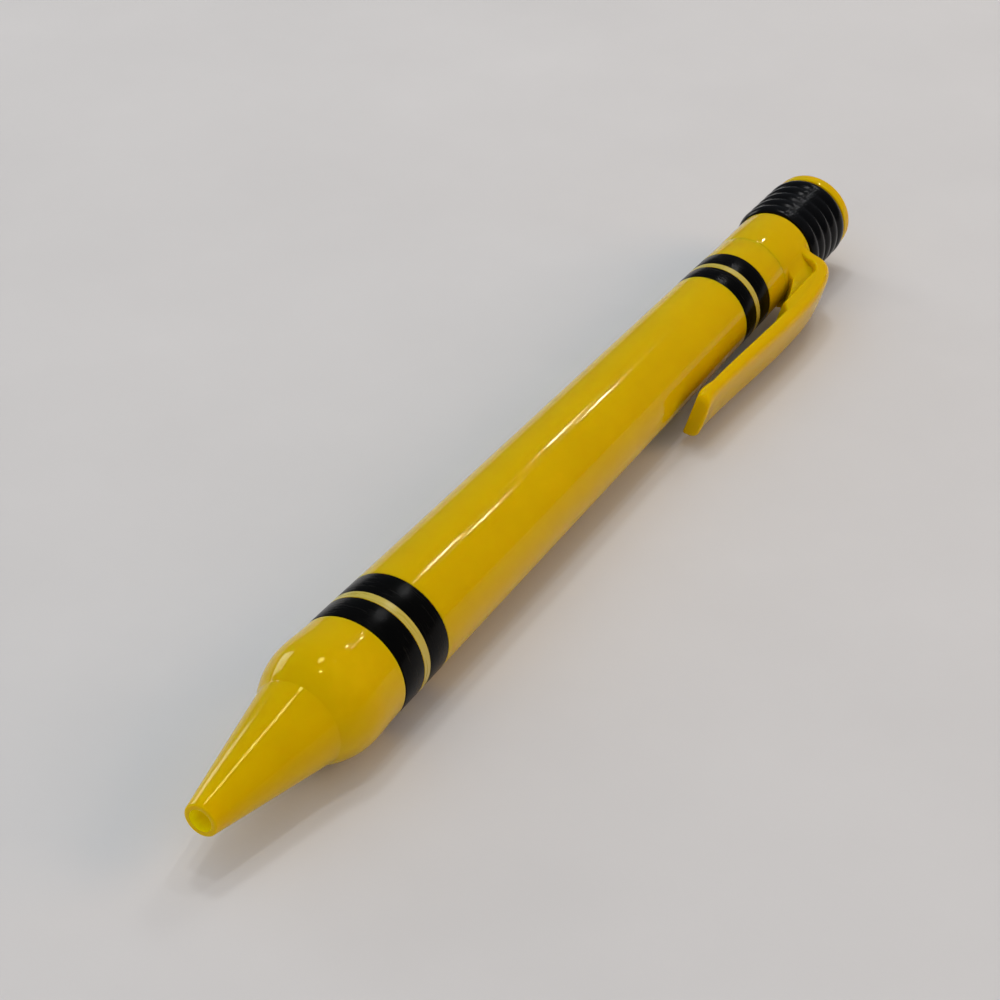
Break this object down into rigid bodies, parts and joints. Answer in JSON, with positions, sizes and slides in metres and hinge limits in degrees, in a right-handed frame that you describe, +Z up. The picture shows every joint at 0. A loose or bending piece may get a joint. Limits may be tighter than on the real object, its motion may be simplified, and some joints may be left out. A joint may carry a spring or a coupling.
{
  "type": "retractable pen",
  "caption": "Crayon-shaped twist pen with a bored cone nose, banded tapering barrel, side clip and a ribbed end knob that drives the refill out through a helical cam.",
  "frame": {"origin": "bottom centre of the pen's box as it lies on a table", "axes": "+X along the pen towards the end cap, +Z up, clip on the -Y side"},
  "size_m": [0.14, 0.0172, 0.0137],
  "materials": {
    "yellow_abs": "gloss",
    "black_film": "gloss",
    "black_abs": "gloss",
    "white_acetal": "satin",
    "steel": "satin",
    "rubber": "matt",
    "clear_pp": "satin",
    "ink": "gloss",
    "brass": "satin",
    "carbide": "gloss"
  },
  "bodies": {
    "pen_body": {"nose_cone": "yellow_abs", "barrel": "yellow_abs", "front_band_stripe_a": "black_film", "front_band_stripe_b": "black_film", "rear_band_stripe_a": "black_film", "rear_band_stripe_b": "black_film", "clip_collar": "yellow_abs", "guide_sleeve": "white_acetal", "return_spring": "steel"},
    "knob": {"twist_knob": "black_abs", "end_cap": "yellow_abs", "cam_drum": "white_acetal", "friction_ring": "rubber"},
    "refill": {"refill_carrier": "white_acetal", "cross_pin": "steel", "refill_tube": "clear_pp", "ink_column": "ink", "refill_point": "brass", "writing_ball": "carbide", "spring_shoulder": "clear_pp"}
  },
  "joints": [
    {"name": "knob_turn", "type": "hinge", "parent": "pen_body", "child": "knob", "pos_m": [0.06, 0.00171, 0.00685], "axis": [1, 0, 0], "range_deg": [0, 150]},
    {"name": "refill_slide", "type": "slide", "parent": "pen_body", "child": "refill", "axis": [-1, 0, 0], "range_m": [0, 0.005], "deforming": ["return_spring"]}
  ],
  "couplings": [
    {"joint": "knob_turn", "follows": "refill_slide", "rad_per_m": 523.6}
  ]
}
